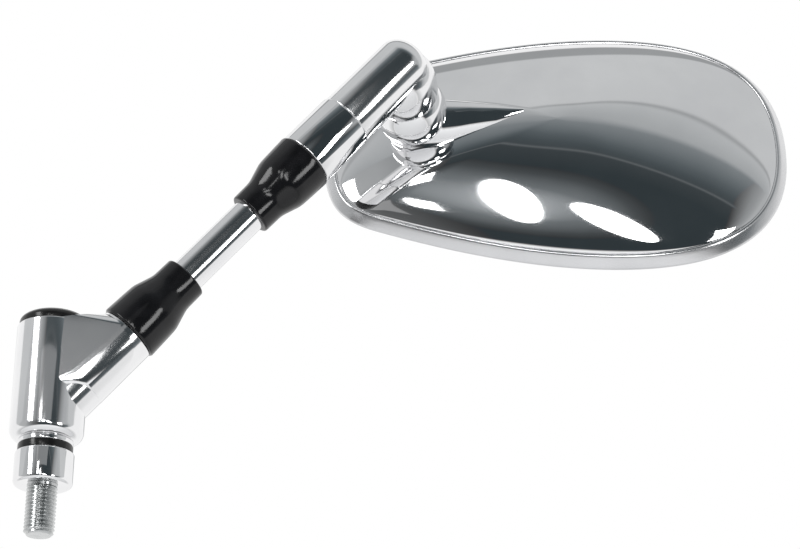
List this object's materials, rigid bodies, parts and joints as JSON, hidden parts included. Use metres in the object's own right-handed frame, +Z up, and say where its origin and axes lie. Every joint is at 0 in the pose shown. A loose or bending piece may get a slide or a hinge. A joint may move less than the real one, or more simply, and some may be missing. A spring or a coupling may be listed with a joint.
{
  "type": "motorcycle mirror",
  "caption": "Chrome motorcycle mirror: forked base arm on a threaded stud, straight stem between rubber boots, and an oval convex head on a ball joint.",
  "frame": {"origin": "on the stud's axis, in the face of the collar that seats on the clamp", "axes": "+Z up the stud's axis towards the top cap, +X the side the stem leans to, +Y the side the glass faces"},
  "size_m": [0.2663, 0.0682, 0.2126],
  "materials": {
    "chrome": "polished",
    "zinc": "satin",
    "spring_steel": "satin",
    "bush_brass": "satin",
    "black_plastic": "matte",
    "seat_plastic": "matte",
    "boot_rubber": "satin",
    "pad_foam": "matte",
    "glass": "polished"
  },
  "bodies": {
    "mount": {"mount_bolt": "zinc", "seat_collar": "chrome", "grip_ring": "black_plastic", "thrust_ring": "chrome", "head_washer": "zinc", "disc_spring": "spring_steel"},
    "base": {"base_arm": "chrome", "pivot_bush": "bush_brass", "top_cap": "black_plastic"},
    "stem": {"stem_tube": "chrome", "lower_lock_nut": "zinc", "lower_boot": "boot_rubber", "upper_lock_nut": "zinc", "upper_boot": "boot_rubber"},
    "knuckle": {"threaded_sleeve": "chrome", "knuckle_housing": "chrome", "cup_seat": "seat_plastic", "ball_bolt": "zinc"},
    "swivel": {"spring_seat": "zinc", "ball_spring": "spring_steel"},
    "cradle": {"cradle_washer": "zinc"},
    "head": {"back_shell": "chrome", "bezel": "chrome", "glass_pad": "pad_foam", "mirror_glass": "glass"}
  },
  "joints": [
    {"name": "base_swivel", "type": "hinge", "parent": "mount", "child": "base", "pos_m": [0, 0, 0.0255], "axis": [0, 0, 1], "continuous": true},
    {"name": "stem_turn", "type": "hinge", "parent": "base", "child": "stem", "pos_m": [0.02452, 0, 0.05321], "axis": [0.6626, 0, 0.749], "range_deg": [-180, 180]},
    {"name": "knuckle_turn", "type": "hinge", "parent": "stem", "child": "knuckle", "pos_m": [0.0815, 0, 0.11762], "axis": [0.6626, 0, 0.749], "range_deg": [-180, 180]},
    {"name": "head_turn", "type": "hinge", "parent": "knuckle", "child": "swivel", "pos_m": [0.11744, 0.02173, 0.14885], "axis": [0.2064, 0.9613, -0.1826], "continuous": true},
    {"name": "head_nod", "type": "hinge", "parent": "swivel", "child": "cradle", "pos_m": [0.11744, 0.02173, 0.14885], "axis": [0.9785, -0.2028, 0.0385], "range_deg": [-10, 10]},
    {"name": "head_swing", "type": "hinge", "parent": "cradle", "child": "head", "pos_m": [0.11744, 0.02173, 0.14885], "axis": [0, -0.1867, -0.9824], "range_deg": [-10, 10]}
  ]
}
